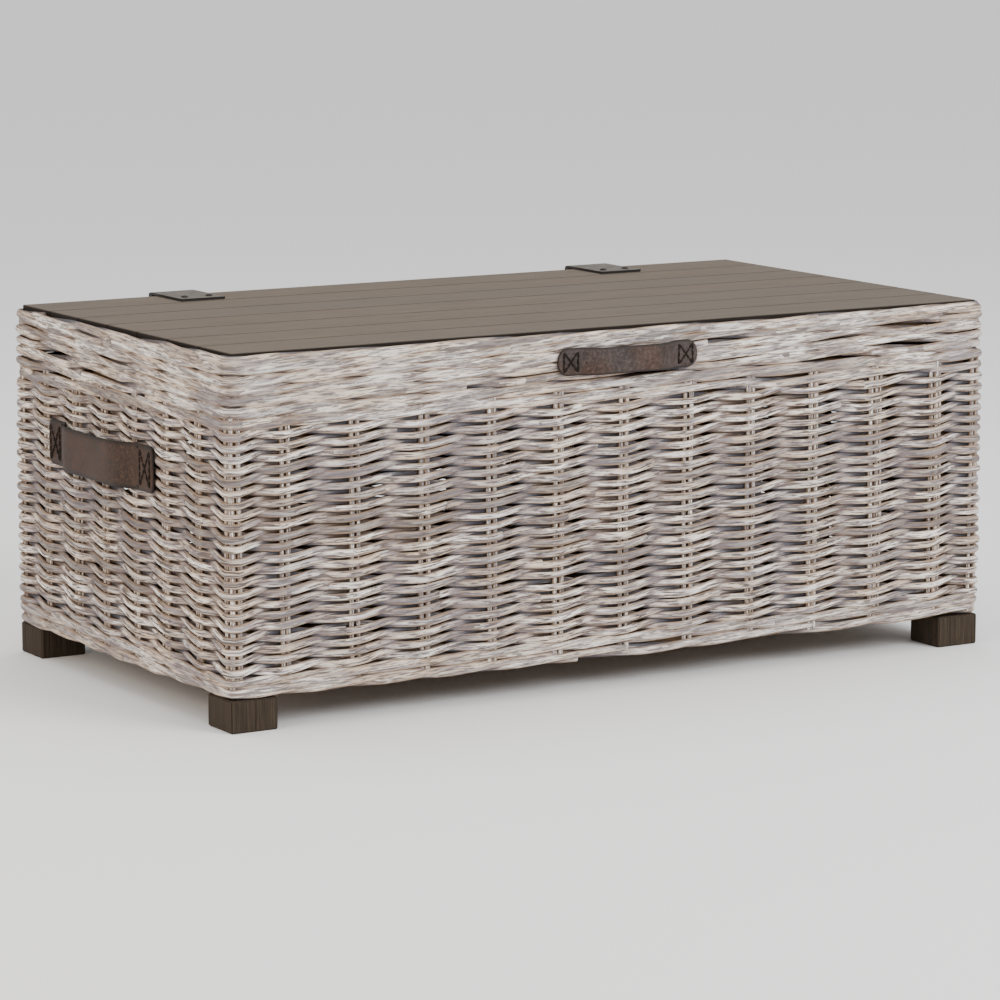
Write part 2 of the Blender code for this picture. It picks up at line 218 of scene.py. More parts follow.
class Mesh:
    """Collects tubes into one mesh, with what the wicker material reads at each vertex."""

    def __init__(self):
        self.points = []
        self.faces = []
        self.grain = []
        self.tone = []
        self.depth = []
        self.edge = []
        self.count = 0

    def tube(self, centre, first, second, radii, grain_along, tone, depth_of, edge_of,
             sides=RING_SIDES, squash=1.0):
        """A capped tube: rings about each centre, in the plane of the two directions."""
        rings = len(centre)
        angle = np.arange(sides) / sides * 2 * np.pi
        spread = radii[:, None, None]
        ring = centre[:, None, :] + spread * (squash * np.cos(angle)[None, :, None] * first[:, None, :]
                                              + np.sin(angle)[None, :, None] * second[:, None, :])
        base = self.count
        self.points.append(ring.reshape(-1, 3))
        ends = np.stack([centre[0], centre[-1]])
        self.points.append(ends)
        turn = np.arange(sides)
        following = (turn + 1) % sides
        starts = np.arange(rings - 1)[:, None] * sides
        near = (starts + turn[None, :]).ravel()
        side = (starts + following[None, :]).ravel()
        self.faces.append(np.stack([near, side, side + sides, near + sides], axis=1) + base)
        tip = base + rings * sides
        last = base + (rings - 1) * sides
        self.faces.append(np.stack([np.full(sides, tip), base + following, base + turn], axis=1))
        self.faces.append(np.stack([np.full(sides, tip + 1), last + turn, last + following], axis=1))
        offset = rng.uniform(0, 60, 3)
        grain = np.zeros((rings, sides, 3))
        grain[:, :, 0] = grain_along[:, None] + offset[0]
        grain[:, :, 1] = np.cos(angle)[None, :] + offset[1]
        grain[:, :, 2] = np.sin(angle)[None, :] + offset[2]
        self.grain += [grain.reshape(-1, 3), grain[[0, -1], 0, :]]
        depth = depth_of(ring)
        self.depth += [depth.ravel(), depth[[0, -1], 0]]
        edge = np.tile(edge_of(angle), (rings, 1))
        self.edge += [edge.ravel(), edge[[0, -1], 0]]
        self.tone.append(np.full(rings * sides + 2, tone))
        self.count += rings * sides + 2

    def build(self, name, material):
        """Make the object."""
        mesh = bpy.data.meshes.new(name)
        points = np.concatenate(self.points)
        quads = np.concatenate([faces for faces in self.faces if faces.shape[1] == 4])
        caps = np.concatenate([faces for faces in self.faces if faces.shape[1] == 3])
        corners = np.concatenate([quads.ravel(), caps.ravel()])
        totals = np.concatenate([np.full(len(quads), 4), np.full(len(caps), 3)])
        starts = np.concatenate([[0], np.cumsum(totals)[:-1]])
        mesh.vertices.add(len(points))
        mesh.vertices.foreach_set("co", points.ravel())
        mesh.loops.add(len(corners))
        mesh.loops.foreach_set("vertex_index", corners)
        mesh.polygons.add(len(totals))
        mesh.polygons.foreach_set("loop_start", starts)
        mesh.polygons.foreach_set("use_smooth", np.ones(len(totals), bool))
        mesh.update(calc_edges=True)
        mesh.validate()
        for label, kind, values in (("grain", "FLOAT_VECTOR", self.grain), ("tone", "FLOAT", self.tone),
                                    ("depth", "FLOAT", self.depth), ("edge", "FLOAT", self.edge)):
            store = mesh.attributes.new(label, kind, "POINT")
            field = "vector" if kind == "FLOAT_VECTOR" else "value"
            store.data.foreach_set(field, np.concatenate(values).astype(np.float32).ravel())
        mesh.materials.append(material)
        return link_object(name, mesh)


def recess(ring):
    """0 on the outer and inner crests of the weave, 1 at its middle, where the wicker material paints shade.
    """
    place = ring.copy()
    place[:, :, 1] -= MIDDLE_Y
    across = np.maximum(np.abs(place[:, :, 0]) - PATH_X, np.abs(place[:, :, 1]) - PATH_Y)
    return np.clip(1 - np.abs(across) / STAKE_PLANE, 0, 1)


def rod_edge(angle):
    """1 under a rod, 0 on its face, rising again over its top: the wicker material paints a tan band there and
    then a dark line of painted shade.
    """
    return np.where(np.sin(angle) < 0, -np.sin(angle), 0.85 * np.sin(angle))


def stake_edge(angle):
    """1 at both sides of a stake, 0 on its face: the wicker material paints a tan band there and then painted
    shade.
    """
    return np.abs(np.cos(angle))


def stake_depth(ring):
    """Stakes are pale on their crests and get painted shade at their sides, where they sink into the weave."""
    return np.clip((recess(ring) - 0.55) * 1.6, 0, 1)


def no_depth(values):
    """No hollows and no dark edges, for threads and nails: a zero for each vertex or each angle."""
    return 0 * (values[:, :, 0] if values.ndim == 3 else values)


def rod_ends():
    """Where one strand's rods begin and end, once round the box."""
    start = rng.uniform(0, PERIMETER)
    finish = start + PERIMETER
    cuts = [start]
    while cuts[-1] < finish - LAST_ROD_ROOM:
        cuts.append(cuts[-1] + rng.uniform(*ROD_LENGTHS))
    cuts[-1] = finish
    return list(zip(cuts, cuts[1:]))


def rod_radii(distance, begin, end, radius, seed):
    """A rod's radius along its length: it wanders a little and swells at the nodes."""
    size = radius * rng.uniform(0.86, 1.09)
    girth = size * (1 + 0.08 * wander(distance, 0.04, seed))
    for node in np.arange(begin + rng.uniform(0.05, 0.3), end, NODE_SPACING):
        girth = girth * (1 + NODE_SWELL * np.exp(-((distance - node) / NODE_WIDTH) ** 2))
    return girth


def add_strand(mesh, height, row_seed, strand, strands, radius, swing, rise, lean):
    """One strand of a twined row, as rods that each start tucked behind the end of the last one."""
    for begin, end in rod_ends():
        rings = int((end - begin + LEAD_LENGTH) / RING_STEP)
        distance = np.linspace(begin - LEAD_LENGTH, end, rings)
        drift = 0.05 * wander(distance, 0.31, row_seed + 11)
        phase = 2 * np.pi * (weave_count(distance) + drift + strand) / strands
        forward = np.cos(phase)
        if strands == 3:
            forward = np.clip(forward * 1.5 + 0.70, -1.0, 1.0)
        bend = swing * (1 + 0.10 * wander(distance, 0.09, row_seed + strand))
        offset = bend * forward
        settle = 0.0011 * wander(distance, 0.23, 500 + int(height * 40))
        settle = settle + 0.0008 * wander(distance, 0.10, row_seed)
        level = height + rise * np.sin(phase) - lean * forward * np.abs(forward)
        level = level + settle + rng.uniform(-0.0005, 0.0005)
        tuck = np.clip(1 - (distance - distance[0]) / LEAD_LENGTH, 0, 1)
        lift = np.clip(1 - (end - distance) / TIP_LENGTH, 0, 1)
        offset = offset - LEAD_TUCK * tuck + TIP_OUT * lift
        level = level - LEAD_DROP * tuck + TIP_UP * lift
        girth = rod_radii(distance, begin, end, radius, row_seed + 7 * strand + 3)
        point, outward = path_frame(distance)
        normal = np.concatenate([outward, np.zeros((rings, 1))], axis=1)
        limit = STAKE_PLANE - girth * ROD_FLAT + 0.0006
        centre = np.concatenate([point, level[:, None]], axis=1)
        centre = centre + normal * np.minimum(offset, limit)[:, None]
        vertical = np.tile(UP, (rings, 1))
        mesh.tube(centre, normal, vertical, girth, distance * GRAIN_PER_METRE, rng.uniform(0, 1),
                  recess, rod_edge, squash=ROD_FLAT)


def add_row(mesh, height, number, strands, radius, swing, rise, lean=0.0):
    """One row: two rods that swap sides at each stake, or three that pass two stakes at a time."""
    for strand in range(strands):
        add_strand(mesh, height, 1000 + 37 * number, strand, strands, radius, swing, rise, lean)


def add_stakes(mesh, bottom, top):
    """Upright rods in pairs, some with a thinner third one, and a pair at each end of each corner."""
    vertical = np.linspace(bottom, top, STAKE_RINGS)
    for place in np.unique(STAKE_AT[:-1]):
        group = [(-1, STAKE_RADIUS), (1, STAKE_RADIUS)]
        if rng.uniform() < THIRD_STAKE_CHANCE:
            third = rng.choice([-THIRD_STAKE_PLACE, THIRD_STAKE_PLACE])
            group.append((third, STAKE_RADIUS * THIRD_STAKE_SIZE))
        for side, radius in group:
            sway = STAKE_SWAY * np.sin(vertical * rng.uniform(14, 30) + rng.uniform(0, 6))
            distance = place + side * STAKE_SPREAD * rng.uniform(0.92, 1.15) + sway
            point, outward = path_frame(distance)
            normal = np.concatenate([outward, np.zeros((STAKE_RINGS, 1))], axis=1)
            tangent = np.stack([-outward[:, 1], outward[:, 0], np.zeros(STAKE_RINGS)], axis=1)
            centre = np.concatenate([point, vertical[:, None]], axis=1)
            centre = centre + normal * rng.uniform(-0.0006, 0.0008)
            girth = radius * rng.uniform(0.9, 1.1) * np.ones(STAKE_RINGS)
            mesh.tube(centre, tangent, normal, girth, vertical * GRAIN_PER_METRE, rng.uniform(0.2, 1),
                      stake_depth, stake_edge, sides=STAKE_SIDES)


# ---------------------------------------------------------------- materials
def linear(red, green, blue):
    """A screen colour, 0 to 255, as a linear one."""
    def one(value):
        value /= 255
        return value / 12.92 if value <= 0.04045 else ((value + 0.055) / 1.055) ** 2.4
    return (one(red), one(green), one(blue), 1.0)


def dimmed(colour, share):
    """A screen colour at a share of its brightness, as a linear one."""
    return linear(*[value * share for value in colour])


class Shade:
    """A Principled material with short calls for the nodes that feed it."""

    def __init__(self, name, roughness=0.6, metallic=0.0):
        self.material = bpy.data.materials.new(name)
        self.material.use_nodes = True
        self.tree = self.material.node_tree
        self.shader = self.tree.nodes["Principled BSDF"]
        self.shader.inputs["Roughness"].default_value = roughness
        self.shader.inputs["Metallic"].default_value = metallic

    def node(self, kind, **settings):
        """Add a node and set its properties."""
        made = self.tree.nodes.new(kind)
        for label, value in settings.items():
            setattr(made, label, value)
        return made

    def link(self, source, target):
        self.tree.links.new(source, target)

    def attribute(self, label, output="Fac"):
        return self.node("ShaderNodeAttribute", attribute_name=label).outputs[output]

    def place(self, output="Object"):
        return self.node("ShaderNodeTexCoord").outputs[output]

    def stretch(self, vector, scale, turn=(0, 0, 0)):
        mapping = self.node("ShaderNodeMapping")
        mapping.inputs["Scale"].default_value = scale
        mapping.inputs["Rotation"].default_value = turn
        self.link(vector, mapping.inputs["Vector"])
        return mapping.outputs["Vector"]

    def noise(self, vector, scale, detail=4.0, roughness=0.55, distortion=0.0):
        made = self.node("ShaderNodeTexNoise")
        made.inputs["Scale"].default_value = scale
        made.inputs["Detail"].default_value = detail
        made.inputs["Roughness"].default_value = roughness
        made.inputs["Distortion"].default_value = distortion
        self.link(vector, made.inputs["Vector"])
        return made.outputs["Fac"]

    def ramp(self, value, *stops):
        """Stops are (place, grey) or (place, colour)."""
        made = self.node("ShaderNodeValToRGB")
        while len(made.color_ramp.elements) < len(stops):
            made.color_ramp.elements.new(0.5)
        for element, (place, colour) in zip(made.color_ramp.elements, stops):
            element.position = place
            element.color = colour if isinstance(colour, tuple) else (colour, colour, colour, 1.0)
        self.link(value, made.inputs["Fac"])
        return made.outputs["Color"]

    def mix(self, amount, low, high, blend="MIX"):
        made = self.node("ShaderNodeMix", data_type="RGBA", blend_type=blend)
        for socket, value in (("Factor", amount), ("A", low), ("B", high)):
            target = [entry for entry in made.inputs if entry.name == socket and entry.enabled][0]
            if hasattr(value, "is_linked"):
                self.link(value, target)
            else:
                target.default_value = value
        return [entry for entry in made.outputs if entry.enabled][0]

    def math(self, operation, first, second=0.0):
        made = self.node("ShaderNodeMath", operation=operation)
        for target, value in zip(made.inputs, (first, second)):
            if hasattr(value, "is_linked"):
                self.link(value, target)
            else:
                target.default_value = value
        return made.outputs["Value"]

    def split(self, vector):
        made = self.node("ShaderNodeSeparateXYZ")
        self.link(vector, made.inputs["Vector"])
        return made.outputs

    def finish(self, colour, height=None, strength=0.3, distance=0.001, roughness=None):
        self.link(colour, self.shader.inputs["Base Color"])
        if roughness is not None:
            self.link(roughness, self.shader.inputs["Roughness"])
        if height is not None:
            bump = self.node("ShaderNodeBump")
            bump.inputs["Strength"].default_value = strength
            bump.inputs["Distance"].default_value = distance
            self.link(height, bump.inputs["Height"])
            self.link(bump.outputs["Normal"], self.shader.inputs["Normal"])
        return self.material


def wicker_material(name, streaks, wash):
    """Whitewashed rattan: pale wash on the crests, tan where it rubbed off, and painted shade, dark brown and
    blue-grey, in the weave's hollows and along the rods' edges.
    """
    shade = Shade(name, 0.78)
    grain = shade.attribute("grain", "Vector")
    tone = shade.attribute("tone")
    depth = shade.attribute("depth")
    rim = shade.attribute("edge")
    place = shade.place()
    broad = shade.noise(shade.stretch(grain, (1.0, 0.5, 0.5)), 1.0, 2.0)
    streak = shade.noise(shade.stretch(grain, (2.4, 1.1, 1.1)), 1.0, 4.0, 0.6, 0.3)
    fibre = shade.noise(shade.stretch(grain, (5.0, 2.4, 2.4)), 1.0, 4.0, 0.6, 0.2)
    patch = shade.noise(shade.stretch(grain, (0.6, 0.4, 0.4)), 1.0, 2.0)
    blotch = shade.noise(shade.stretch(place, (7.0, 7.0, 11.0)), 1.0, 4.0, 0.6)
    thin_wash = dimmed((212, 196, 178), wash)
    full_wash = dimmed((252, 246, 238), wash)
    colour = shade.mix(shade.ramp(broad, (0.38, 0.0), (0.58, 1.0)), thin_wash, full_wash)
    colour = shade.mix(shade.ramp(patch, (0.47, 0.0), (0.62, 0.55)), colour, linear(204, 172, 140))
    colour = shade.mix(shade.ramp(streak, (0.48, 0.0), (0.57, 0.95 * streaks)), colour, linear(138, 130, 132))
    colour = shade.mix(shade.ramp(fibre, (0.50, 0.0), (0.56, 0.95 * streaks)), colour, linear(80, 68, 64))
    colour = shade.mix(shade.ramp(tone, (0.0, 0.80), (0.16, 0.45), (0.34, 0.0)), colour, linear(92, 82, 80))
    colour = shade.mix(shade.ramp(blotch, (0.50, 0.0), (0.62, 0.55)), colour, linear(112, 104, 108))
    # Tan band where the wash thins towards the rods' edges, then painted shade: a dark line under each rod,
    # fainter over its top, and down the sides of the stakes.
    edge_wear_and_shade = shade.math("ADD", rim, shade.math("MULTIPLY", shade.math("SUBTRACT", streak, 0.5), 1.1))
    colour = shade.mix(shade.ramp(edge_wear_and_shade, (0.56, 0.0), (0.80, 0.70)), colour, linear(180, 150, 118))
    colour = shade.mix(shade.ramp(edge_wear_and_shade, (0.80, 0.0), (0.97, 0.92)), colour, linear(64, 50, 42))
    # Painted shade: where the depth attribute is high, between and behind the rods and at the stakes' sides,
    # the colour turns grey-brown and then dark brown and blue-grey.
    hollow = shade.math("ADD", depth, shade.math("MULTIPLY", shade.math("SUBTRACT", fibre, 0.5), 0.9))
    colour = shade.mix(shade.ramp(hollow, (0.30, 0.0), (0.58, 0.50)), colour, linear(120, 102, 96))
    painted_shade = shade.mix(shade.ramp(blotch, (0.40, 0.0), (0.50, 1.0)), linear(88, 72, 60), linear(68, 68, 76))
    colour = shade.mix(shade.ramp(hollow, (0.58, 0.0), (0.84, 0.90)), colour, painted_shade)
    height = shade.math("ADD", shade.math("MULTIPLY", streak, 0.8), fibre)
    return shade.finish(colour, height, 0.8, 0.0012)


def board_material():
    """Taupe-washed boards: fine straight grain along X, and painted shade that turns the side faces near
    black.
    """
    shade = Shade("taupe_boards", 0.72)
    shade.shader.inputs["Specular IOR Level"].default_value = 0.18
    place = shade.place()
    grain = shade.noise(shade.stretch(place, (3.0, 150.0, 40.0)), 3.0, 6.0, 0.65)
    fine = shade.noise(shade.stretch(place, (12.0, 700.0, 200.0)), 2.0, 4.0, 0.6)
    broad = shade.noise(shade.stretch(place, (1.2, 11.9, 1.0)), 1.0, 2.0)
    colour = shade.mix(shade.ramp(grain, (0.32, 0.0), (0.68, 1.0)), linear(76, 66, 55), linear(108, 96, 83))
    colour = shade.mix(shade.ramp(broad, (0.40, 0.0), (0.60, 0.30)), colour, linear(86, 81, 76))
    colour = shade.mix(shade.ramp(fine, (0.55, 0.0), (0.75, 0.35)), colour, linear(54, 46, 38))
    # Painted shade: faces that point neither up nor down, the plank sides in the grooves and at the edges, are
    # darkened to near black.
    up = shade.math("ABSOLUTE", shade.split(shade.place("Normal"))["Z"])
    side = shade.ramp(up, (0.55, 1.0), (0.90, 0.0))
    colour = shade.mix(side, colour, linear(30, 24, 19))
    return shade.finish(colour, shade.math("ADD", grain, fine), 0.25, 0.0004)


def wood_material(name, light, dark, along, roughness, strength, fineness=0.7):
    """Plain wood with its grain along one axis."""
    shade = Shade(name, roughness)
    shade.shader.inputs["Specular IOR Level"].default_value = 0.2
    place = shade.place()
    scale = [90.0 * fineness] * 3
    scale[along] = 4.0
    grain = shade.noise(shade.stretch(place, tuple(scale)), 2.0, 6.0, 0.65, 0.4)
    scale = [260.0 * fineness] * 3
    scale[along] = 14.0
    pore = shade.noise(shade.stretch(place, tuple(scale)), 2.0, 4.0, 0.6)
    colour = shade.mix(shade.ramp(grain, (0.34, 0.0), (0.66, 1.0)), linear(*dark), linear(*light))
    colour = shade.mix(shade.ramp(pore, (0.52, 0.0), (0.72, 0.6)), colour, dimmed(dark, 0.45))
    return shade.finish(colour, shade.math("ADD", grain, pore), strength, 0.0006)


def metal_material(name, light, dark, roughness, metallic):
    """Painted or blackened steel with worn mottling."""
    shade = Shade(name, roughness, metallic)
    place = shade.place()
    cloud = shade.noise(place, 90.0, 5.0, 0.6)
    speck = shade.noise(place, 900.0, 3.0, 0.6)
    colour = shade.mix(shade.ramp(cloud, (0.38, 0.0), (0.64, 1.0)), linear(*dark), linear(*light))
    colour = shade.mix(shade.ramp(speck, (0.58, 0.0), (0.74, 0.5)), colour, dimmed(dark, 0.5))
    rough = shade.ramp(cloud, (0.3, roughness * 0.8), (0.7, min(roughness * 1.3, 1.0)))
    return shade.finish(colour, speck, 0.15, 0.0003, rough)


def hinge_material():
    """Brown-grey painted plate, with painted shade that turns its edge faces near black."""
    shade = Shade("hinge_paint", 0.55, 0.1)
    shade.shader.inputs["Specular IOR Level"].default_value = 0.3
    place = shade.place()
    cloud = shade.noise(place, 70.0, 5.0, 0.6)
    speck = shade.noise(place, 800.0, 3.0, 0.6)
    colour = shade.mix(shade.ramp(cloud, (0.36, 0.0), (0.66, 1.0)), linear(64, 57, 49), linear(92, 83, 73))
    colour = shade.mix(shade.ramp(speck, (0.58, 0.0), (0.76, 0.5)), colour, linear(60, 52, 46))
    # Painted shade: faces that point neither up, down nor back, the thin edges of the leaves, are darkened to
    # near black.
    parts = shade.split(shade.place("Normal"))
    flat = shade.math("MAXIMUM", shade.math("ABSOLUTE", parts["Z"]), parts["Y"])
    edge = shade.ramp(flat, (0.55, 1.0), (0.95, 0.0))
    colour = shade.mix(edge, colour, linear(24, 20, 18))
    return shade.finish(colour, shade.math("ADD", cloud, speck), 0.2, 0.0003)


def leather_material(name, light, dark, worn):
    """Worn leather: mottled, with a fine pebbled grain and paler rubbed spots."""
    shade = Shade(name, 0.60)
    shade.shader.inputs["Specular IOR Level"].default_value = 0.3
    place = shade.place()
    mottle = shade.noise(place, 26.0, 4.0, 0.6)
    speck = shade.noise(place, 260.0, 5.0, 0.75)
    cells = shade.node("ShaderNodeTexVoronoi", feature="DISTANCE_TO_EDGE")
    cells.inputs["Scale"].default_value = 480.0
    shade.link(place, cells.inputs["Vector"])
    colour = shade.mix(shade.ramp(mottle, (0.38, 0.0), (0.62, 1.0)), linear(*dark), linear(*light))
    rubbed = shade.noise(place, 9.0, 2.0, 0.5)
    colour = shade.mix(shade.ramp(rubbed, (0.47, 0.0), (0.60, 0.6)), colour, dimmed(worn, 0.72))
    colour = shade.mix(shade.ramp(speck, (0.52, 0.0), (0.62, 0.65)), colour, linear(*worn))
    colour = shade.mix(shade.ramp(speck, (0.38, 0.7), (0.48, 0.0)), colour, dimmed(dark, 0.5))
    border = shade.attribute("border")
    colour = shade.mix(shade.ramp(border, (0.78, 0.0), (0.97, 0.75)), colour, dimmed(dark, 0.4))
    pebble = shade.ramp(cells.outputs["Distance"], (0.0, 0.0), (0.12, 1.0))
    rough = shade.ramp(speck, (0.35, 0.48), (0.7, 0.75))
    height = shade.math("ADD", pebble, shade.math("MULTIPLY", speck, 1.5))
    return shade.finish(colour, height, 0.4, 0.0005, rough)


WICKER = wicker_material("washed_rattan", 1.0, 1.0)
THICK_WICKER = wicker_material("washed_rattan_thick", 0.8, 0.95)
BOARDS = board_material()
FEET = wood_material("foot_wood", (70, 59, 47), (32, 24, 17), 2, 0.8, 0.6, 3.2)
FRAME_LIGHT = (146, 120, 92)
FRAME_DARK = (108, 84, 62)
FRAME_X = wood_material("frame_wood_long", FRAME_LIGHT, FRAME_DARK, 0, 0.7, 0.3)
FRAME_Y = wood_material("frame_wood_short", FRAME_LIGHT, FRAME_DARK, 1, 0.7, 0.3)
FRAME_Z = wood_material("frame_wood_post", FRAME_LIGHT, FRAME_DARK, 2, 0.7, 0.3)
HINGE = hinge_material()
SCREW = metal_material("screw_black", (46, 40, 36), (22, 19, 17), 0.38, 0.7)
PLATE = metal_material("plate_steel", (96, 92, 88), (60, 56, 52), 0.5, 0.6)
FRONT_LEATHER = leather_material("leather_front", (66, 45, 33), (42, 29, 21), (84, 74, 72))
SIDE_LEATHER = leather_material("leather_side", (58, 36, 22), (36, 21, 12), (84, 62, 48))
THREAD = wood_material("thread", (36, 27, 21), (20, 15, 12), 0, 0.8, 0.3)


def dress_frame():
    """Give each CAD node that stays its own material."""
    for name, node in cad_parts.items():
        if name.startswith("lid_plank"):
            material = BOARDS
        elif name.startswith("foot"):
            material = FEET
        elif name.startswith("post"):
            material = FRAME_Z
        elif name.endswith(("rail_left", "rail_right")) or name == "lid_batten":
            material = FRAME_Y
        elif name.startswith(("base", "top_rail", "lid_rail")):
            material = FRAME_X
        elif name.startswith("hinge") and name.endswith("leaf"):
            material = HINGE
        elif name.startswith("hinge"):
            material = SCREW
        elif name.startswith("handle") and "plate" in name:
            material = PLATE
        else:
            continue
        node.data.materials.clear()
        node.data.materials.append(material)


def add_thick_row(mesh, height, number, rise=WALE_RISE):
    """One of the three-rod rows of the borders and the rim."""
    add_row(mesh, height, number, 3, THICK_ROD_RADIUS, THICK_SWING, rise)


def hand_over(pieces, body, side):
    """Say which body the woven pieces ride on, and that they replace its four slabs."""
    for piece in pieces:
        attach(piece, body)
    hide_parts(*[f"wicker_{side}_{place}" for place in ("front", "back", "left", "right")])


def weave_body():
    """Body rows, from the thick border at the bottom to the one under the parting line, and the stakes."""
    border = Mesh()
    for row in range(BORDER_ROWS):
        add_thick_row(border, WEAVE_BOTTOM + BORDER_PITCH * (row + 0.5), row)
    pieces = [border.build("weave_bottom_border", THICK_WICKER)]
    low = WEAVE_BOTTOM + BORDER_ROWS * BORDER_PITCH
    high = BODY_TOP - BORDER_ROWS * BORDER_PITCH + BORDER_OVERLAP
    pitch = (high - low) / BODY_ROWS
    for group in range(BODY_ROWS // 2):
        band = Mesh()
        for row in (2 * group, 2 * group + 1):
            height = low + (row + 0.5) * pitch
            add_row(band, height, BORDER_ROWS + row, 2, ROD_RADIUS, ROD_SWING, ROD_RISE, ROD_LEAN)
        pieces.append(band.build(f"weave_band_{group + 1:02d}", WICKER))
    border = Mesh()
    for row in range(BORDER_ROWS):
        height = BODY_TOP - BORDER_DROP - BORDER_PITCH * (row + 0.5)
        add_thick_row(border, height, BORDER_ROWS + BODY_ROWS + row)
    pieces.append(border.build("weave_top_border", THICK_WICKER))
    stakes = Mesh()
    add_stakes(stakes, WEAVE_BOTTOM + STAKE_MARGIN, BODY_TOP - STAKE_MARGIN)
    pieces.append(stakes.build("weave_stakes", WICKER))
    hand_over(pieces, "carcass", "wall")


def weave_rim():
    """The lid's thick rows, in two pieces."""
    pieces = []
    pitch = (RIM_TOP - RIM_BOTTOM) / (RIM_ROWS - 0.2)
    for number, rows in enumerate((range(0, 2), range(2, RIM_ROWS))):
        band = Mesh()
        for row in rows:
            height = min(RIM_BOTTOM + (row + 0.5) * pitch, RIM_TOP - TOP_ROW_DROP)
            rise = WALE_RISE if row < RIM_ROWS - 1 else TOP_ROW_RISE
            add_thick_row(band, height, RIM_SEED + row, rise)
        pieces.append(band.build(f"weave_rim_{number + 1}", THICK_WICKER))
    hand_over(pieces, "lid", "rim")


weave_body()
weave_rim()
dress_frame()


# ---------------------------------------------------------------- leather straps
def strap_surface(base, outward, along, length, width, pad, bow, corner):
    """The points of a strap's back and then its face, row by row, and how near the border each one is."""
    flat_from = length / 2 - pad
    points = []
    border = []
    for is_face in (False, True):
        for place in np.linspace(-1, 1, STRAP_CELLS_LONG + 1):
            run = place * length / 2
            grip = min(abs(run) / flat_from, 1.0)
            lift = bow * (0.5 + 0.5 * math.cos(math.pi * grip ** 4))
            from_end = length / 2 - abs(run)
            half = width / 2
            if from_end < corner:
                half -= corner - math.sqrt(max(corner ** 2 - (corner - from_end) ** 2, 0.0))
            waist = 1 - STRAP_WAIST * (1 - grip)
            for spot in np.linspace(-1, 1, STRAP_CELLS_WIDE + 1):
                rim = max(abs(spot), 1 - from_end / CROWN_EDGE)
                crown = STRAP_THICKNESS * (1 - 0.42 * max(0.0, (rim - 0.80) / 0.20) ** 2)
                ripple = 0.0002 * math.sin(run * 95 + spot * 2.0)
                height = lift + (crown + ripple if is_face else STRAP_BACK)
                points.append(base + along * run + outward * height + UP * (spot * half * waist))
                border.append(max(abs(spot), 1 - from_end / BORDER_EDGE) if is_face else 1.0)
    return points, np.clip(border, 0, 1)


def strap_faces():
    """The faces that close the back and the face into one body."""
    stride = STRAP_CELLS_WIDE + 1
    total = stride * (STRAP_CELLS_LONG + 1)
    faces = []
    for i in range(STRAP_CELLS_LONG):
        for j in range(STRAP_CELLS_WIDE):
            a = i * stride + j
            faces.append((a, a + 1, a + stride + 1, a + stride))
            faces.append((a + total, a + stride + total, a + stride + 1 + total, a + 1 + total))
    for i in range(STRAP_CELLS_LONG):
        for j in (0, STRAP_CELLS_WIDE):
            a = i * stride + j
            faces.append((a, a + stride, a + stride + total, a + total))
    for j in range(STRAP_CELLS_WIDE):
        for i in (0, STRAP_CELLS_LONG):
            a = i * stride + j
            faces.append((a, a + 1, a + 1 + total, a + total))
    return faces


def make_outward(mesh):
    """Turn all faces to point out, and weld what meets."""
    shape = bmesh.new()
    shape.from_mesh(mesh)
    bmesh.ops.remove_doubles(shape, verts=shape.verts, dist=0.00002)
    bmesh.ops.recalc_face_normals(shape, faces=shape.faces)
    shape.to_mesh(mesh)
    shape.free()


def strap(name, node, outward, along, pad, bow, corner, material, body):
    """A thick leather strap in its CAD node's place: pads with rounded corners and a bowed grip."""
    low, high = [np.array(corner_point) for corner_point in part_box(node)]
    middle = (low + high) / 2
    length = abs((high - low) @ along)
    width = (high - low)[2]
    face = max(low @ outward, high @ outward) - bow - STRAP_STANDOFF
    base = middle + outward * (face - middle @ outward)
    points, border = strap_surface(base, outward, along, length, width, pad, bow, corner)
    mesh = bpy.data.meshes.new(name)
    mesh.from_pydata([tuple(point) for point in points], [], strap_faces())
    mesh.update()
    store = mesh.attributes.new("border", "FLOAT", "POINT")
    store.data.foreach_set("value", border.astype(np.float32))
    piece = link_object(name, mesh)
    make_outward(mesh)
    mesh.shade_smooth()
    mesh.materials.append(material)
    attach(piece, body)
    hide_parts(node)
    return base, length, width


def stitches(name, spans, outward, body):
    """Short thread stitches, each a small arched tube between two points on the leather."""
    mesh = Mesh()
    share = np.linspace(0, 1, STITCH_RINGS)
    arch = STITCH_RADIUS * 0.5 * np.sin(np.pi * share) ** 0.5
    radii = STITCH_RADIUS * (0.7 + 0.3 * np.sin(np.pi * share))
    for start, end in spans:
        run = end - start
        length = np.linalg.norm(run)
        number = max(int(round(length / STITCH_LENGTH)), 1)
        side = np.cross(outward, run / length)
        for stitch in range(number):
            first = start + run * (stitch + 0.03) / number
            last = start + run * (stitch + 0.97) / number
            centre = first + (last - first) * share[:, None] + outward * arch[:, None]
            mesh.tube(centre, np.tile(outward, (STITCH_RINGS, 1)), np.tile(side, (STITCH_RINGS, 1)), radii,
                      share, 0.5, no_depth, no_depth, sides=6)
    piece = mesh.build(name, THREAD)
    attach(piece, body)


def box_stitching(name, base, length, outward, along, inset, size, body):
    """The bar, cross, bar pattern sewn through each pad."""
    spans = []
    for end in (-1, 1):
        middle = base + along * end * (length / 2 - inset - size[0] / 2)
        middle = middle + outward * (STRAP_THICKNESS - STRAP_BACK)
        corner = {}
        for i in (-1, 1):
            for j in (-1, 1):
                corner[i, j] = middle + along * i * size[0] / 2 + UP * j * size[1] / 2
        spans += [(corner[-1, -1], corner[-1, 1]), (corner[1, -1], corner[1, 1])]
        spans += [(corner[-1, -1], corner[1, 1]), (corner[-1, 1], corner[1, -1])]
    stitches(name, spans, outward, body)


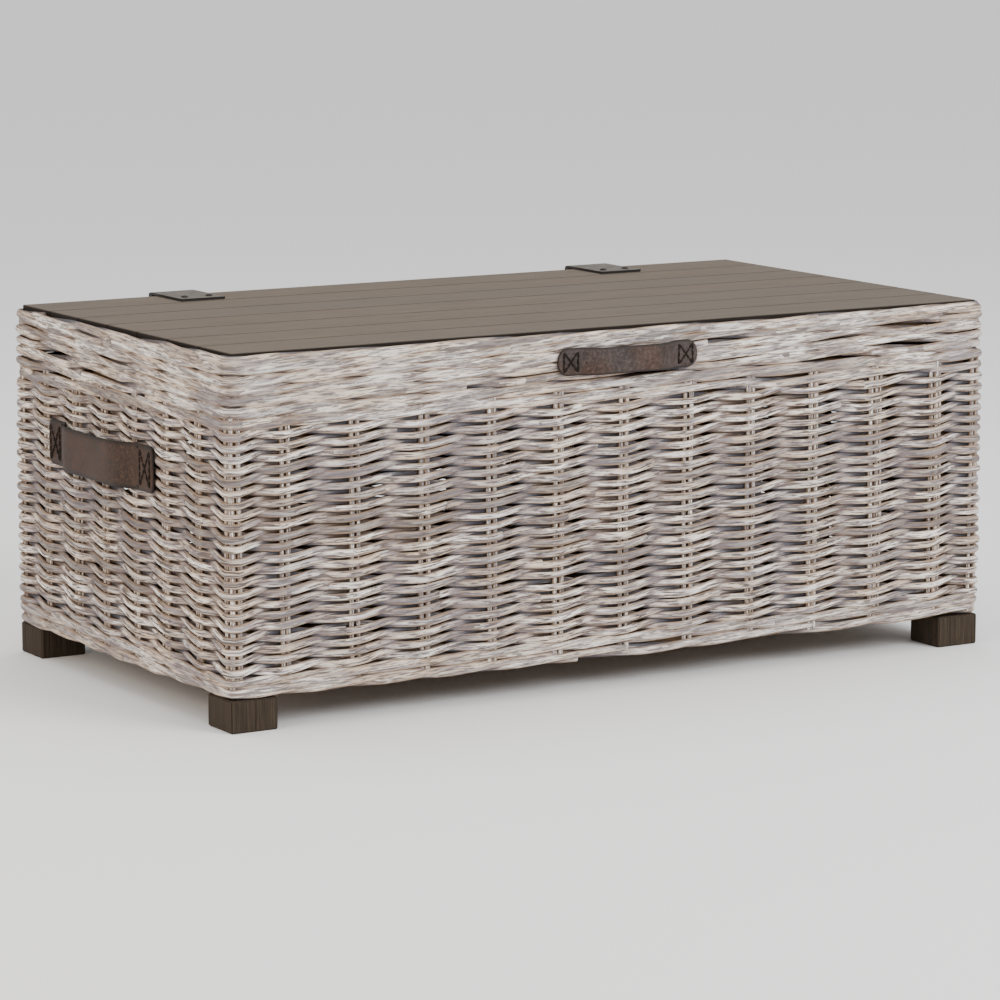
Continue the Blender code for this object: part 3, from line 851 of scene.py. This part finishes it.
def nails(name, base, length, width, outward, along, pad, body):
    """Small black nail heads at the inner corners of both pads."""
    mesh = Mesh()
    dome = np.array([0.0, 0.45, 0.8, 1.0])
    girth = NAIL_RADIUS * np.sqrt(1 - 0.8 * dome ** 2)
    for end in (-1, 1):
        for rise in (-1, 1):
            spot = base + along * end * (length / 2 - pad + NAIL_INSET)
            spot = spot + UP * rise * (width / 2 - NAIL_INSET)
            centre = spot + outward * (STRAP_THICKNESS - 0.0006 + NAIL_HEIGHT * dome[:, None])
            mesh.tube(centre, np.tile(along, (4, 1)), np.tile(UP, (4, 1)), girth, dome, 0.5,
                      no_depth, no_depth)
    piece = mesh.build(name, SCREW)
    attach(piece, body)


def add_straps():
    """The pull on the lid's front rim and the two carrying straps on the sides."""
    outward = np.array([0.0, -1.0, 0.0])
    along = np.array([1.0, 0.0, 0.0])
    base, length, width = strap("strap_front", "handle_front", outward, along, pad=0.032, bow=0.013,
                                corner=0.0155, material=FRONT_LEATHER, body="lid")
    box_stitching("stitching_front", base, length, outward, along, 0.008, (0.020, 0.025), "lid")
    along = np.array([0.0, 1.0, 0.0])
    pad = 0.044
    for side, sign in (("left", -1.0), ("right", 1.0)):
        outward = np.array([sign, 0.0, 0.0])
        base, length, width = strap("strap_" + side, "handle_" + side, outward, along, pad=pad, bow=0.018,
                                    corner=0.008, material=SIDE_LEATHER, body="carcass")
        box_stitching("stitching_" + side, base, length, outward, along, 0.007, (0.026, 0.044), "carcass")
        nails("nails_" + side, base, length, width, outward, along, pad, "carcass")


add_straps()


# ---------------------------------------------------------------- floor, light, camera
LIGHT_TARGET = Vector((0, 0, 0.2))
SENSOR_WIDTH = 36


def add_stage():
    """A pale floor that runs out of view."""
    bpy.ops.mesh.primitive_plane_add(size=40, location=(0, 0, 0))
    floor = bpy.context.object
    floor.name = "floor"
    shade = Shade("pale_floor", 0.9)
    shade.shader.inputs["Base Color"].default_value = (0.92, 0.92, 0.92, 1.0)
    floor.data.materials.append(shade.material)


def add_area(name, place, size, power, colour=(1, 1, 1)):
    """A soft area light aimed at the table's middle."""
    data = bpy.data.lights.new(name, "AREA")
    data.shape = "RECTANGLE"
    data.size, data.size_y = size
    data.energy = power
    data.color = colour
    light = link_object(name, data)
    light.location = place
    light.rotation_euler = (LIGHT_TARGET - Vector(place)).to_track_quat("-Z", "Y").to_euler()


def add_camera():
    """The viewpoint: from the front left, a little above the lid."""
    azimuth = math.radians(-30.84)
    elevation = math.radians(9.22)
    distance = 5.5385
    back = Vector((math.sin(azimuth) * math.cos(elevation), -math.cos(azimuth) * math.cos(elevation),
                   math.sin(elevation)))
    target = Vector((-0.002, MIDDLE_Y, 0.1935))
    data = bpy.data.cameras.new("camera")
    data.sensor_width = SENSOR_WIDTH
    data.lens = SENSOR_WIDTH * 4.295
    data.clip_end = 100
    camera = link_object("camera", data)
    camera.location = target + back * distance
    camera.rotation_euler = (-back).to_track_quat("-Z", "Y").to_euler()
    bpy.context.scene.camera = camera


add_stage()
add_area("key", (1.6, -3.8, 2.6), (2.5, 2.0), 170, (0.97, 0.98, 1.0))
add_area("fill", (-3.6, -0.9, 1.5), (2.5, 2.5), 62, (1.0, 0.84, 0.68))
add_area("top", (0.0, 0.8, 3.6), (3.5, 2.5), 45)
world = bpy.data.worlds.new("studio")
world.use_nodes = True
world.node_tree.nodes["Background"].inputs["Color"].default_value = (1.0, 1.0, 1.0, 1.0)
world.node_tree.nodes["Background"].inputs["Strength"].default_value = 1.0
bpy.context.scene.world = world
add_camera()
